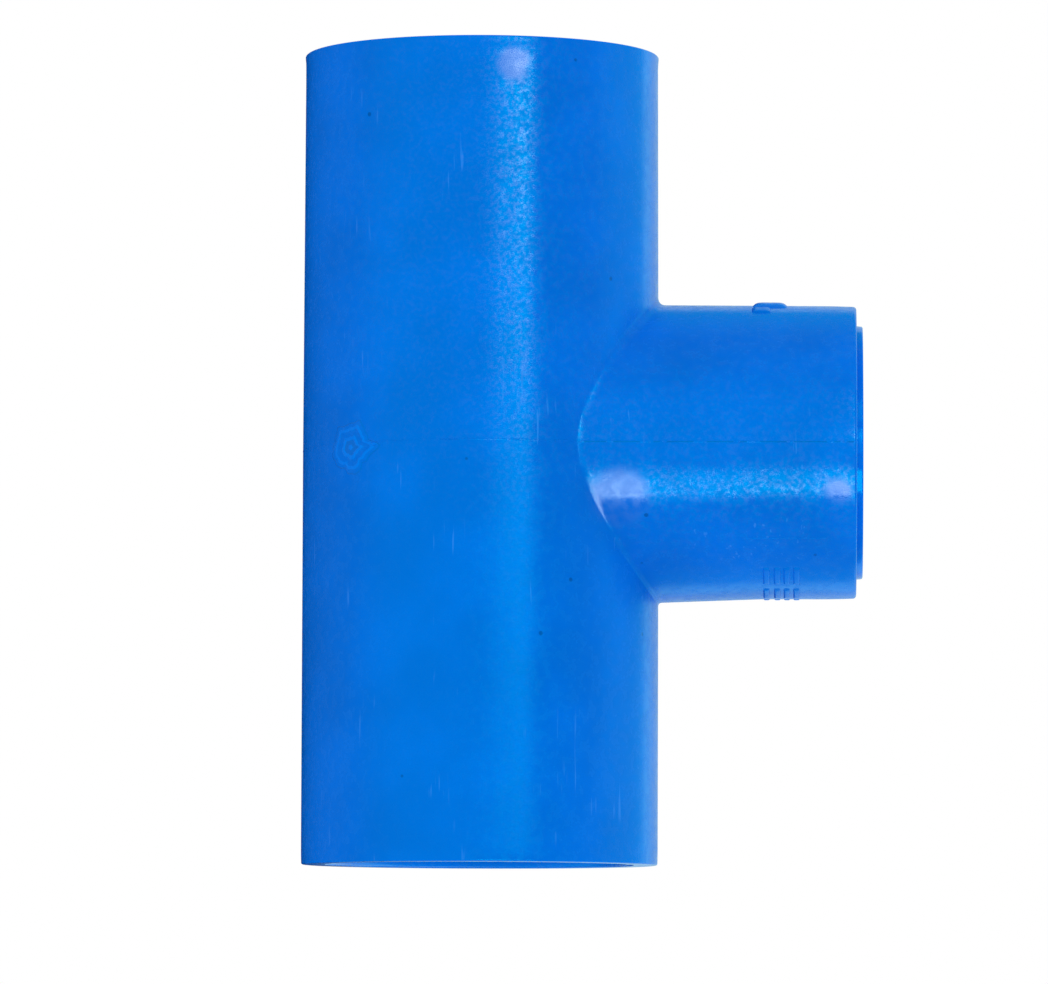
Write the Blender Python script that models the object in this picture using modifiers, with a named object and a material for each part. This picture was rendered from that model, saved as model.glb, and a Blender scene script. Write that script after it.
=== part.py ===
"""Solvent-weld reducing tee for irrigation pipe: a vertical run with two sockets and a smaller side branch.

The fitting is one injection moulding. It is modelled as the regions that a fitter names: the barrel of the
run with its pipe stops, the pipe sockets, the mouth rims, the neck of the branch, the gate vestige and the
raised marks. Neighbouring regions keep a small gap, so that each one is a closed solid of its own.

Frame: metres, +Z up the run, +X out along the branch. The origin is where the two centrelines cross.
"""

import math

import bmesh
import bpy
import numpy as np

MM = 0.001

# Driving dimensions of the moulding, in millimetres
UPPER_LENGTH = 37.4  # centreline crossing to the upper mouth of the run
LOWER_LENGTH = 38.75  # centreline crossing to the lower mouth, a little further off
PARTING_RADIUS = 16.75  # outside of the run at the parting plane, its widest place
RUN_MOUTH_RADIUS = 16.62  # outside of the run at its mouths, after the moulding draft
RUN_WATERWAY_RADIUS = 10.45
RUN_STOP = 14.0  # centreline crossing to the ledge that stops the pipe
RUN_SOCKET_BOTTOM_RADIUS = 13.28
RUN_SOCKET_MOUTH_RADIUS = 13.43
RUN_RIM_LENGTH = 3.0
STOP_LEDGE_LENGTH = 2.4
STOP_LEDGE_RADIUS = 13.0

BRANCH_REACH = 36.0  # centreline crossing to the tip of the face lip
FACE_LIP_HEIGHT = 0.6
FACE_LIP_RADIUS = 11.9
BRANCH_ROOT_RADIUS = 13.95
BRANCH_MOUTH_RADIUS = 13.75
BRANCH_WATERWAY_RADIUS = 7.9
BRANCH_STOP = 18.5
BRANCH_SOCKET_BOTTOM_RADIUS = 10.62
BRANCH_SOCKET_MOUTH_RADIUS = 10.77
BRANCH_RIM_LENGTH = 3.0
SADDLE_FLARE = 0.8  # fillet between the branch and the run

RIM_ROUNDING = 0.5
ENTRY_CHAMFER = 0.5

GATE_RADIUS = 2.6
GATE_PROUD = 0.15
GATE_DEPTH = 1.0
GATE_AZIMUTH = math.radians(47)  # from the front of the run round to its left

MARK_PROUD = 0.33
MARK_DEPTH = 0.8
MARK_LENGTH = 3.2
MARK_WIDTH = 7.0
TOP_MARK_PLACE = 26.9
BOTTOM_MARK_PLACE = 28.3

GAP = 0.3  # between neighbouring regions
STEPS = 48  # facets round a full turn
ROUNDING_STEPS = 4
PAST = 6.0  # how far a cutter runs past what it cuts

BLUE = (0.0, 0.162, 0.73)
WORN_BLUE = (0.004, 0.18, 0.745)
ROUGHNESS = 0.32


def clear_scene():
    """Remove every object that the file opens with."""
    for thing in list(bpy.data.objects):
        bpy.data.objects.remove(thing, do_unlink=True)


def new_collection(name):
    group = bpy.data.collections.new(name)
    bpy.context.scene.collection.children.link(group)
    return group


def plastic(name, colour):
    """Rigid PVC in one colour, for one region."""
    material = bpy.data.materials.new(name + "_upvc")
    material.use_nodes = True
    shader = material.node_tree.nodes["Principled BSDF"]
    shader.inputs["Base Color"].default_value = (*colour, 1.0)
    shader.inputs["Roughness"].default_value = ROUGHNESS
    shader.inputs["Metallic"].default_value = 0.0
    return material


def add_region(name, mesh, group, parent=None, colour=BLUE):
    """A named region of the moulding, with its own material."""
    region = bpy.data.objects.new(name, mesh)
    group.objects.link(region)
    region.parent = parent
    mesh.materials.append(plastic(name, colour))
    return region


def outline_mesh(name, outline):
    """A closed outline of (radius, height) points in millimetres, standing in the XZ plane."""
    mesh = bpy.data.meshes.new(name)
    points = [(radius * MM, 0.0, height * MM) for radius, height in outline]
    count = len(points)
    edges = [(k, (k + 1) % count) for k in range(count)]
    mesh.from_pydata(points, edges, [])
    return mesh


def turned(name, outline, group, parent=None, colour=BLUE):
    """A ring turned from an outline that runs down its outside and back up its inside."""
    ring = add_region(name, outline_mesh(name, outline), group, parent, colour)
    screw = ring.modifiers.new("turn", "SCREW")
    screw.steps = STEPS
    screw.render_steps = STEPS
    screw.use_merge_vertices = True
    screw.merge_threshold = 0.00001
    screw.use_smooth_shade = True
    return ring


def run_outside(distance, length):
    """Outside radius of the run at a distance from the parting plane, on the side that is length long.

    It is widest at the parting plane, with draft to both mouths.
    """
    return PARTING_RADIUS + (RUN_MOUTH_RADIUS - PARTING_RADIUS) * distance / length


def upright(outline):
    """The outline as it is, for the upper end of the run."""
    return outline


def flipped(outline):
    """The same outline upside down, still running down its outside."""
    return [(radius, -height) for radius, height in reversed(outline)]


def branch_outside(reach):
    """Outside radius of the branch at a distance from the run's centreline."""
    share = (reach - PARTING_RADIUS) / (BRANCH_REACH - PARTING_RADIUS)
    return BRANCH_ROOT_RADIUS + (BRANCH_MOUTH_RADIUS - BRANCH_ROOT_RADIUS) * share


def rounded_edge(outer_radius, face_height, rounding):
    """Points of a quarter-round from the flat mouth face to the outside wall."""
    centre_radius = outer_radius - rounding
    centre_height = face_height - rounding
    turns = [math.pi / 2 * k / ROUNDING_STEPS for k in range(ROUNDING_STEPS + 1)]
    return [
        (centre_radius + rounding * math.sin(t), centre_height + rounding * math.cos(t))
        for t in turns
    ]


def cylinder_cutter(name, radius, depth, group):
    """A wire-drawn cylinder along its own Z, from its origin up."""
    mesh = bpy.data.meshes.new(name)
    shape = bmesh.new()
    bmesh.ops.create_cone(
        shape,
        cap_ends=True,
        segments=STEPS,
        radius1=radius * MM,
        radius2=radius * MM,
        depth=depth * MM,
    )
    bmesh.ops.translate(shape, verts=shape.verts, vec=(0, 0, depth * MM / 2))
    shape.to_mesh(mesh)
    shape.free()
    return hidden(name, mesh, group)


def box_mesh(name, length, width, height):
    """A box centred on its own X and Y, from its origin up."""
    mesh = bpy.data.meshes.new(name)
    shape = bmesh.new()
    bmesh.ops.create_cube(shape, size=1.0)
    bmesh.ops.scale(shape, verts=shape.verts, vec=(length * MM, width * MM, height * MM))
    bmesh.ops.translate(shape, verts=shape.verts, vec=(0, 0, height * MM / 2))
    shape.to_mesh(mesh)
    shape.free()
    return mesh


def hidden(name, mesh, group):
    """A helper solid that only cuts or trims other solids."""
    helper = bpy.data.objects.new(name, mesh)
    helper.hide_render = True
    helper.display_type = "WIRE"
    group.objects.link(helper)
    return helper


def cut(target, cutter, operation="DIFFERENCE"):
    """Cut one solid with another, or keep only what they share."""
    boolean = target.modifiers.new(cutter.name, "BOOLEAN")
    boolean.operation = operation
    boolean.solver = "EXACT"
    boolean.object = cutter


RUN_ENDS = (("upper", UPPER_LENGTH, upright), ("lower", LOWER_LENGTH, flipped))


def make_run_barrel(group, cutters):
    """Middle of the run: the waterway, a seat for each pipe stop, and the way out to the branch."""
    seat_radius = STOP_LEDGE_RADIUS + GAP
    seat_start = RUN_STOP - STOP_LEDGE_LENGTH - GAP
    barrel = turned(
        "run_barrel",
        [
            (run_outside(RUN_STOP, UPPER_LENGTH), RUN_STOP),
            (PARTING_RADIUS, 0),
            (run_outside(RUN_STOP, LOWER_LENGTH), -RUN_STOP),
            (seat_radius, -RUN_STOP),
            (seat_radius, -seat_start),
            (RUN_WATERWAY_RADIUS, -seat_start),
            (RUN_WATERWAY_RADIUS, seat_start),
            (seat_radius, seat_start),
            (seat_radius, RUN_STOP),
        ],
        group,
    )
    way_out = cylinder_cutter(
        "way_out_to_branch", BRANCH_WATERWAY_RADIUS, PARTING_RADIUS + PAST, cutters
    )
    way_out.rotation_euler = (0, math.pi / 2, 0)
    cut(barrel, way_out)
    return barrel


def make_pipe_stops(group):
    """Ledge at the bottom of each run socket, which the pipe end comes to rest against."""
    ledge = [
        (STOP_LEDGE_RADIUS, RUN_STOP),
        (STOP_LEDGE_RADIUS, RUN_STOP - STOP_LEDGE_LENGTH),
        (RUN_WATERWAY_RADIUS, RUN_STOP - STOP_LEDGE_LENGTH),
        (RUN_WATERWAY_RADIUS, RUN_STOP),
    ]
    for name, _, way in RUN_ENDS:
        turned(name + "_pipe_stop", way(ledge), group)


def make_run_sockets(group):
    """Tapered sockets of the run, from the pipe stop to the mouth rim."""
    start = RUN_STOP + GAP
    for name, length, way in RUN_ENDS:
        end = length - RUN_RIM_LENGTH - GAP
        socket = [
            (run_outside(end, length), end),
            (run_outside(start, length), start),
            (RUN_SOCKET_BOTTOM_RADIUS, start),
            (RUN_SOCKET_MOUTH_RADIUS, end),
        ]
        turned(name + "_run_socket", way(socket), group)


def make_run_rims(group):
    """Mouth rims of the run: a flat face, a rounded outer edge and a chamfered entry."""
    for name, length, way in RUN_ENDS:
        start = length - RUN_RIM_LENGTH
        rim = [
            (RUN_SOCKET_MOUTH_RADIUS + ENTRY_CHAMFER, length),
            *rounded_edge(RUN_MOUTH_RADIUS, length, RIM_ROUNDING),
            (run_outside(start, length), start),
            (RUN_SOCKET_MOUTH_RADIUS, start),
            (RUN_SOCKET_MOUTH_RADIUS, length - ENTRY_CHAMFER),
        ]
        turned(name + "_mouth_rim", way(rim), group, colour=WORN_BLUE)


def saddle_height(radius, turn):
    """Height above the run's centreline of the saddle that clears the run's outside by the gap.

    It is the square root of the clearing radius squared less the sideways distance squared.
    """
    sideways = radius * np.sin(turn)
    return np.sqrt((PARTING_RADIUS + GAP) ** 2 - sideways**2)


def make_branch_neck(group, axis):
    """Neck of the branch: a loft from the saddle on the run to the flat ledge that stops the pipe.

    Each section is a closed loop of stations, and the loops are carried round the branch's axis.
    """
    turn = np.linspace(0, 2 * math.pi, STEPS, endpoint=False)
    under = np.linspace(BRANCH_WATERWAY_RADIUS, BRANCH_ROOT_RADIUS, 5)
    stations = [(radius, saddle_height(radius, turn)) for radius in under]
    sweep = np.linspace(0, math.pi / 2, ROUNDING_STEPS)
    for t in sweep:
        radius = BRANCH_ROOT_RADIUS + SADDLE_FLARE * (1 - math.sin(t))
        root = saddle_height(radius, turn)
        stations.append((radius, root + SADDLE_FLARE * (1 - math.cos(t))))
    flat_end = np.full(STEPS, BRANCH_STOP)
    stations.append((branch_outside(BRANCH_STOP), flat_end))
    stations.append((BRANCH_WATERWAY_RADIUS, flat_end))

    loops = [
        np.column_stack([radius * np.cos(turn), radius * np.sin(turn), height])
        for radius, height in stations
    ]
    points = np.concatenate(loops) * MM
    count = len(stations)
    ring, place = np.meshgrid(np.arange(count), np.arange(STEPS), indexing="ij")
    next_ring = (ring + 1) % count
    next_place = (place + 1) % STEPS
    corners = [
        ring * STEPS + place,
        next_ring * STEPS + place,
        next_ring * STEPS + next_place,
        ring * STEPS + next_place,
    ]
    faces = np.stack(corners, axis=-1).reshape(-1, 4)
    mesh = bpy.data.meshes.new("branch_neck")
    mesh.from_pydata(points.tolist(), [], faces.tolist())
    shape = bmesh.new()
    shape.from_mesh(mesh)
    bmesh.ops.recalc_face_normals(shape, faces=shape.faces)
    shape.to_mesh(mesh)
    shape.free()
    mesh.shade_smooth()
    return add_region("branch_neck", mesh, group, axis)


def make_branch_socket(group, cutters, axis):
    """Tapered socket of the branch, with a shallow seat for each raised mark."""
    start = BRANCH_STOP + GAP
    end = BRANCH_REACH - FACE_LIP_HEIGHT - BRANCH_RIM_LENGTH - GAP
    socket = turned(
        "branch_socket",
        [
            (branch_outside(end), end),
            (branch_outside(start), start),
            (BRANCH_SOCKET_BOTTOM_RADIUS, start),
            (BRANCH_SOCKET_MOUTH_RADIUS, end),
        ],
        group,
        axis,
    )
    for name, place, side in (
        ("top_mark_seat", TOP_MARK_PLACE, 1),
        ("bottom_mark_seat", BOTTOM_MARK_PLACE, -1),
    ):
        seat = hidden(
            name,
            box_mesh(name, MARK_LENGTH + 2 * GAP, MARK_WIDTH + 2 * GAP, PAST),
            cutters,
        )
        floor = BRANCH_ROOT_RADIUS - MARK_DEPTH - GAP
        seat.location = (place * MM, 0, side * floor * MM)
        seat.rotation_euler = (0 if side > 0 else math.pi, 0, 0)
        cut(socket, seat)
    return socket


def make_branch_mouth(group, axis):
    """Mouth rim of the branch, and the low lip that stands out of its face round the bore."""
    face = BRANCH_REACH - FACE_LIP_HEIGHT
    start = face - BRANCH_RIM_LENGTH
    inside = FACE_LIP_RADIUS + GAP
    turned(
        "branch_mouth_rim",
        [
            (inside, face),
            *rounded_edge(branch_outside(face), face, RIM_ROUNDING),
            (branch_outside(start), start),
            (inside, start),
        ],
        group,
        axis,
        WORN_BLUE,
    )
    turned(
        "branch_face_lip",
        [
            (FACE_LIP_RADIUS, BRANCH_REACH),
            (FACE_LIP_RADIUS, start),
            (BRANCH_SOCKET_MOUTH_RADIUS, start),
            (BRANCH_SOCKET_MOUTH_RADIUS, BRANCH_REACH),
        ],
        group,
        axis,
        WORN_BLUE,
    )


def make_gate_vestige(group, cutters, barrel):
    """Round trace of the injection gate on the parting plane, let into the barrel."""
    outward = (math.pi / 2, 0, -GATE_AZIMUTH)

    def along_gate(distance):
        return (
            -distance * math.sin(GATE_AZIMUTH) * MM,
            -distance * math.cos(GATE_AZIMUTH) * MM,
            0,
        )

    seat = cylinder_cutter("gate_seat", GATE_RADIUS + GAP, PAST, cutters)
    seat.location = along_gate(PARTING_RADIUS - GATE_DEPTH - GAP)
    seat.rotation_euler = outward
    cut(barrel, seat)

    mesh = bpy.data.meshes.new("gate_vestige")
    shape = bmesh.new()
    height = GATE_DEPTH + GATE_PROUD
    bmesh.ops.create_cone(
        shape,
        cap_ends=True,
        segments=STEPS // 2,
        radius1=GATE_RADIUS * MM,
        radius2=GATE_RADIUS * MM,
        depth=height * MM,
    )
    bmesh.ops.translate(shape, verts=shape.verts, vec=(0, 0, height * MM / 2))
    shape.to_mesh(mesh)
    shape.free()
    vestige = add_region("gate_vestige", mesh, group, colour=WORN_BLUE)
    vestige.location = along_gate(PARTING_RADIUS - GATE_DEPTH)
    vestige.rotation_euler = outward


def make_marks(group, cutters):
    """A raised plain pad on the top and on the bottom of the branch, curved like the branch."""
    for name, place, side in (
        ("top_mark", TOP_MARK_PLACE, 1),
        ("bottom_mark", BOTTOM_MARK_PLACE, -1),
    ):
        mark = add_region(name, box_mesh(name, MARK_LENGTH, MARK_WIDTH, PAST), group)
        floor = BRANCH_ROOT_RADIUS - MARK_DEPTH
        mark.location = (place * MM, 0, side * floor * MM)
        mark.rotation_euler = (0 if side > 0 else math.pi, 0, 0)
        crown = cylinder_cutter(
            name + "_crown", branch_outside(place) + MARK_PROUD, MARK_LENGTH * 2, cutters
        )
        crown.location = ((place - MARK_LENGTH) * MM, 0, 0)
        crown.rotation_euler = (0, math.pi / 2, 0)
        cut(mark, crown, "INTERSECT")


def main():
    clear_scene()
    group = new_collection("pvc_reducing_tee")
    cutters = new_collection("cutters")
    cutters.hide_render = True
    axis = bpy.data.objects.new("branch_axis", None)
    axis.rotation_euler = (0, math.pi / 2, 0)
    group.objects.link(axis)

    barrel = make_run_barrel(group, cutters)
    make_pipe_stops(group)
    make_run_sockets(group)
    make_run_rims(group)
    make_branch_neck(group, axis)
    make_branch_socket(group, cutters, axis)
    make_branch_mouth(group, axis)
    make_gate_vestige(group, cutters, barrel)
    make_marks(group, cutters)


main()
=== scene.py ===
"""A blue moulded PVC reducing tee: one injection-moulded body with its mouth lip, gate scar, marks and seam.

The frame and the pieces are in metres, with +Z along the run and +X along the branch. The sizes below and the
grids of points are in mm, unless a comment says otherwise.
"""

import math

import bmesh
import bpy
import numpy as np
from bpy.props import FloatProperty, FloatVectorProperty, PointerProperty
from mathutils import Matrix, Vector


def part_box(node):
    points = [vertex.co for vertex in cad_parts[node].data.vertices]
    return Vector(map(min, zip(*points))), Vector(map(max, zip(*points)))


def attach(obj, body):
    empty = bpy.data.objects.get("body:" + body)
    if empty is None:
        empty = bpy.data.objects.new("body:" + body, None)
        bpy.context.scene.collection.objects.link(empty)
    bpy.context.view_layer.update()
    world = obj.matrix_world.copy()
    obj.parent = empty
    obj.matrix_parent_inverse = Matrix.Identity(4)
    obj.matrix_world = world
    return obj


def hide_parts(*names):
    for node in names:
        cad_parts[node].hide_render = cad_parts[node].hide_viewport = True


bl_info = {
    "name": "Moulded PVC reducing tee",
    "version": (1, 0, 0),
    "blender": (4, 5, 0),
    "location": "3D View > Sidebar > Tee",
    "description": "Builds the moulded skin, lip, gate scar, marks and seam of a solvent-weld reducing tee",
    "category": "Add Mesh",
}

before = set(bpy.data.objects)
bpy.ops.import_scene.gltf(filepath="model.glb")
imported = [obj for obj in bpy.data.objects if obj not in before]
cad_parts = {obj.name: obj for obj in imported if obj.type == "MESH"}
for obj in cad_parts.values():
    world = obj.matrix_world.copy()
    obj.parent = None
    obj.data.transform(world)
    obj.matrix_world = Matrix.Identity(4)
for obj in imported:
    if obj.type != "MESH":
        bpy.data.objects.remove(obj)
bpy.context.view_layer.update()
MM = 0.001

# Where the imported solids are, m.
RUN_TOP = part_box("upper_mouth_rim")[1].z
RUN_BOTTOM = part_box("lower_mouth_rim")[0].z
RUN_RADIUS = -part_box("run_barrel")[0].x - 0.03 * MM  # leaves room for the seam inside the frame's box
FACE_TRIM = 0.12 * MM                       # the branch's face is drawn back a little from its solid
BRANCH_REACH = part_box("branch_face_lip")[1].x - FACE_TRIM
BRANCH_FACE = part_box("branch_mouth_rim")[1].x - FACE_TRIM

# Grid of the skin. The outer edge of a sheet round the run is a rectangle: its two long sides close
# round the run, its two short sides meet in one line at the back.
AROUND_RUN = 132
ALONG_BACK = 48
AROUND_BRANCH = 2 * (AROUND_RUN + ALONG_BACK)
SHEET_ROWS = 54
BORE_SHEET_ROWS = 22
SHEET_EASE, BORE_SHEET_EASE = 1.25, 1.1  # above 1, the rows crowd towards the hole
FILLET_ROWS = 8
BRANCH_ROWS = 40
BRANCH_BORE_ROWS = 16
WALL_ROWS = 14
ROUNDING_POINTS = 7
RUN_FACE_POINTS = ROUNDING_POINTS + 6  # a mouth face's rounding, 2 points of relief and 4 of chamfer

# Outside of the run, mm.
UPPER_DRAFT, LOWER_DRAFT = 0.12, 0.00  # how much less the radius is at each mouth than at the middle
BAND_LENGTH = 1.2         # the edge band at each mouth, which flares (upper) or rolls in (lower) a little
BAND_FLARE = (0.08, -0.03)
EDGE_ROUNDING = 0.15

# Outside of the branch, mm. The two halves of the mould differ slightly.
UPPER_ROOT, UPPER_MOUTH = 13.88, 13.78
LOWER_ROOT, LOWER_MOUTH = 14.14, 13.76
UPPER_TAPER = (14.0, 36.0)  # between these places along the branch each half narrows to its mouth
LOWER_TAPER = (16.0, 26.5)
HALF_DEPTH = 13.55
ROOT_CONE_END = 16.6      # the branch is very slightly conical from the root to here
ROOT_CONE_SLOPE = 0.022
ROOT_CONE_SOFTNESS = 0.35
SIDE_DRAFT = 0.020        # leaves a blunt ridge where the mould halves part
BRANCH_CROWN_LENGTH = 3.4
BRANCH_CROWN_DROP = 0.08
BRANCH_EDGE_ROUNDING = 0.30

# Where the search for the saddle starts, mm, and its rounds.
SADDLE_START = 12.0
SADDLE_ROUNDS = 12

# Fillet between run and branch, mm: how far it runs on to the run and on to the branch.
FILLET_SIDE = (0.30, 0.75)
FILLET_TOP = (0.85, 0.80)
FILLET_BOTTOM = (0.35, 0.35)

# Where the cavity is polished smoothest, mm: centre and radius.
POLISHED_PATCHES = (((3.6, -16.3, 34.8), 1.45), ((33.6, -12.8, -4.5), 1.15), ((13.3, -12.4, -4.9), 2.4))
PATCH_RAGGED = 0.9        # how far the patches' edges wander
BUMP_DEPTH = 0.006        # of the orange peel

# Bores, mm.
RUN_WATERWAY = 10.45
RUN_STOP = 14.0
RUN_SOCKET_BOTTOM, RUN_SOCKET_MOUTH = 13.28, 13.43
BRANCH_WATERWAY = 7.9
BRANCH_STOP = 18.5
BRANCH_SOCKET_BOTTOM, BRANCH_SOCKET_MOUTH = 10.62, 10.77
RUN_LEDGE, BRANCH_LEDGE = (12.0, 11.2), (9.8, 8.8)  # rings that keep the ledges' quads even
WALL_START = 1.2          # how far in from a run mouth its plain socket wall starts
LIP_RADIUS = 11.9
ENTRY_CHAMFER = 0.5
STOP_ROUNDING = 0.25
RIM_RELIEF = 0.10         # the fine step left round each mouth face by the core pin
RELIEF_EDGES = (0.55, 0.45)  # the top and foot of that step, out from the chamfer

# Gate scar, mm: its centre on the run, and its rings as (height share, radius, half width).
GATE_ANGLE = math.radians(-90.0 - 43.4)
GATE_Z = -0.45
GATE_RADIUS = 2.45
GATE_AROUND, GATE_ROWS = 120, 40
GATE_FLAT = 0.45          # height share between the rings
GATE_RINGS = ((0.35, 0.85, 0.16), (0.30, 1.75, 0.20), (0.25, 0.0, 0.25))
# Rows from the centre outwards, with their finish: button, step, ring, wall, ring, wall and foot. Finish 1 is
# painted paler as painted highlight, and finish 2 darker as painted shade.
GATE_BANDS = ((0, 4, 1), (4, 11, 2), (11, 17, 1), (17, 26, 0), (26, 31, 1), (31, 36, 0), (36, 40, 2))

# Raised bars: places along the branch in mm, and degrees round from its top or bottom line.
TOP_BARS = (((25.6, 28.8), (-15, 15), 1.0), ((25.5, 27.3), (16.5, 23), 0.6))  # and height share
BOTTOM_BAR_PLACES = ((26.6, 27.2), (27.6, 28.2), (28.5, 29.1), (29.4, 30.0))
BOTTOM_BAR_TURNS = ((-35, -23), (-19, -5), (5, 19), (23, 35))
BOTTOM_BAR_SHARE = 0.4
BAR_ROWS, BAR_COLUMNS = 17, 25
BAR_ROOT = 0.3

# Flash lines, mm, and the marking insert's edges in degrees below the branch's sides.
SEAM_WIDTH, INSERT_WIDTH = 0.13, 0.10
RIDGE_ROOT = 0.06
INSERT_ANGLE = 39.3
INSERT_START, INSERT_END = 24.8, 32.4
INSERT_FADE = 0.6

# Camera, m and degrees.
CAMERA_PLACE = (0.0300, -0.7040, -0.0540)
CAMERA_AIM = (0.00408, 0.0, -0.0037)
CAMERA_ROLL = 0.19

# The key is strips side by side, so that it brightens towards its crisp right edge, in three tiers of
# elevation, height, level and tint.
KEY_TIERS = ((1.5, 11, 3.3, "#8FD0FF"), (11.5, 9, 7.8, "#F4F8FF"), (33.0, 18, 2.6, "#F4F8FF"))
KEY_STRIPS = ((29.6, 11.5, 1.0), (18.3, 11.0, 0.60), (8.8, 8.0, 0.16))  # azimuth, width, share
# Weaker lights from below: name, azimuth, elevation, width, height, level and tint.
LOW_LIGHTS = (("low_left", 0.0, -29, 7, 20, 2.7, "#9AD4FF"), ("low_right", 20.0, -29, 33, 20, 6.6, "#F4F8FF"))

# Light of the surroundings, linear, and the floor sheet, m.
CARD_LIGHT = (0.46, 0.70, 0.76, 1)
COOL_LIGHT = (0.03, 0.86, 1.0, 1)
WHITE = (1, 1, 1, 1)
FLOOR_HALF = 1.2
FLOOR_GAP = 0.05 * MM


def linear(code):
    """sRGB hex code to linear RGB: each channel is divided by 12.92 below 0.04045, else a 2.4 power."""
    channels = [int(code[i:i + 2], 16) / 255 for i in (1, 3, 5)]
    return tuple(c / 12.92 if c <= 0.04045 else ((c + 0.055) / 1.055) ** 2.4 for c in channels)


# ---------------------------------------------------------------- shapes


def smooth_step(low, high, value):
    """0 below low, 1 above high, and a cubic S between."""
    t = np.clip((value - low) / (high - low), 0, 1)
    return t * t * (3 - 2 * t)


def run_outer_radius(z):
    """Radius at height z: the middle radius, less a straight draft, plus the flare of the edge band, which
    grows with the 1.5 power of the way into the band."""
    upper = np.asarray(z) > 0
    end = np.where(upper, RUN_TOP, -RUN_BOTTOM) / MM
    band = np.clip((np.abs(z) - (end - BAND_LENGTH)) / BAND_LENGTH, 0, 1)
    draft = np.where(upper, UPPER_DRAFT, LOWER_DRAFT) * np.abs(z) / end
    return RUN_RADIUS / MM - draft + np.where(upper, *BAND_FLARE) * band ** 1.5


def branch_section(theta, x):
    """Points (y, z) of the branch at angle theta and place x: an ellipse, less in depth by a share that grows
    with height (the side draft), with a slow cone at the root and a parabola falling in at the mouth."""
    upper = UPPER_ROOT + (UPPER_MOUTH - UPPER_ROOT) * smooth_step(*UPPER_TAPER, x)
    start, stop = LOWER_TAPER
    lower = LOWER_ROOT + (LOWER_MOUTH - LOWER_ROOT) * np.clip((x - start) / (stop - start), 0, 1)
    side = smooth_step(-0.5, 0.5, np.sin(theta))
    height = lower + (upper - lower) * side
    cone = ROOT_CONE_SLOPE * np.logaddexp(0, (ROOT_CONE_END - x) / ROOT_CONE_SOFTNESS) * ROOT_CONE_SOFTNESS
    end = BRANCH_FACE / MM
    crown = np.clip((x - (end - BRANCH_CROWN_LENGTH)) / BRANCH_CROWN_LENGTH, 0, 1) ** 2 * BRANCH_CROWN_DROP
    depth = (HALF_DEPTH + cone) * (1 - SIDE_DRAFT * np.abs(np.sin(theta)))
    return (depth - crown) * np.cos(theta), (height - crown) * np.sin(theta)


def saddle_curve(theta):
    """Where the branch meets the run: x is found by rounds of x = root of (radius squared - y squared)."""
    x = np.full_like(theta, SADDLE_START)
    for _ in range(SADDLE_ROUNDS):
        y, z = branch_section(theta, x)
        x = np.sqrt(run_outer_radius(z) ** 2 - y ** 2)
    return np.stack([x, y, z], -1)


def fillet_reach(theta):
    """Fillet lengths on the run and on the branch: a mix of the side, top and bottom values by sin theta."""
    s = np.sin(theta)
    up, down = np.clip(s, 0, 1) ** 2, np.clip(-s, 0, 1) ** 2
    return [FILLET_SIDE[i] * (1 - up - down) + FILLET_TOP[i] * up + FILLET_BOTTOM[i] * down for i in (0, 1)]


def rectangle_edge(half_width, top, bottom):
    """Points round a rectangle, counter-clockwise from height 0 on its right side, evenly on each stretch."""
    half, across = ALONG_BACK // 2, AROUND_RUN
    stops = np.cumsum([0, half, across, half, half, across, half])
    t = np.arange(AROUND_BRANCH)
    s = np.interp(t, stops, np.array([1, 1, -1, -1, -1, 1, 1]) * half_width)
    z = np.interp(t, stops, [0, top, top, 0, bottom, bottom, 0])
    return np.stack([s, z], -1)


def sheet_with_hole(hole, top, bottom, radius, rows, ease):
    """A sheet wrapped round the run with a hole for the branch. In the unrolled plane (angle, height) each
    row is the hole's edge moved a share k of the way to the rectangle's edge; then angle and height go on to
    the cylinder. radius is a function of height, and k is an even step to the power ease."""
    edge = rectangle_edge(math.pi, top, bottom)
    k = np.linspace(0, 1, rows + 1)[:, None, None] ** ease
    flat = hole[None] + (edge - hole)[None] * k
    r = radius(flat[..., 1])
    return np.stack([r * np.cos(flat[..., 0]), r * np.sin(flat[..., 0]), flat[..., 1]], -1)


def revolve(profile, angles, axis):
    """Turns a profile of (radius, place along the axis) rows about Z or X: every point at every angle."""
    r, a = profile[:, 0][:, None], profile[:, 1][:, None]
    c, s = np.cos(angles)[None], np.sin(angles)[None]
    if axis == "Z":
        return np.stack([r * c, r * s, a + 0 * c], -1)
    return np.stack([a + 0 * c, r * c, r * s], -1)


def arc(centre, radius, start, stop, count):
    """Points of a circle's arc in the profile plane, from one angle to another in degrees."""
    t = np.radians(np.linspace(start, stop, count))
    return np.stack([centre[0] + radius * np.cos(t), centre[1] + radius * np.sin(t)], -1)


def ruled(first, last, rows):
    """Straight lines between two rings, point to point, cut into rows."""
    k = np.linspace(0, 1, rows + 1)[:, None, None]
    return first[None] + (last - first)[None] * k


def run_angles():
    """The run's even angles in the order of the sheet's long side, from +180 to -180 degrees."""
    return math.pi - 2 * math.pi * np.arange(AROUND_RUN + 1) / AROUND_RUN


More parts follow.
